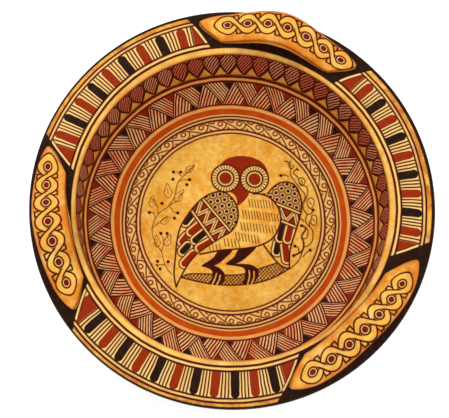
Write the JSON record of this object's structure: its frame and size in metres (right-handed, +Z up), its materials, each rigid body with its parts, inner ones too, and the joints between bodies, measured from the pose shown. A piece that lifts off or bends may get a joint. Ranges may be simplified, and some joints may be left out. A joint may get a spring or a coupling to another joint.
{
  "type": "lekanis dish",
  "caption": "Shallow round pottery dish with an upright wall, a broad flat rim carrying arched strap handles, a low ring foot and a painted bird picture",
  "frame": {"origin": "middle of the ring foot's underside, on the ground and on the dish's turning axis", "axes": "+Z up along the turning axis; +Y towards the top of the painted picture"},
  "size_m": [0.26, 0.26, 0.0935],
  "materials": {
    "fired_clay": "golden clay with painted bands in black, red-brown and orange, satin"
  },
  "bodies": {
    "root": {"lekanis": "fired_clay"}
  },
  "joints": []
}
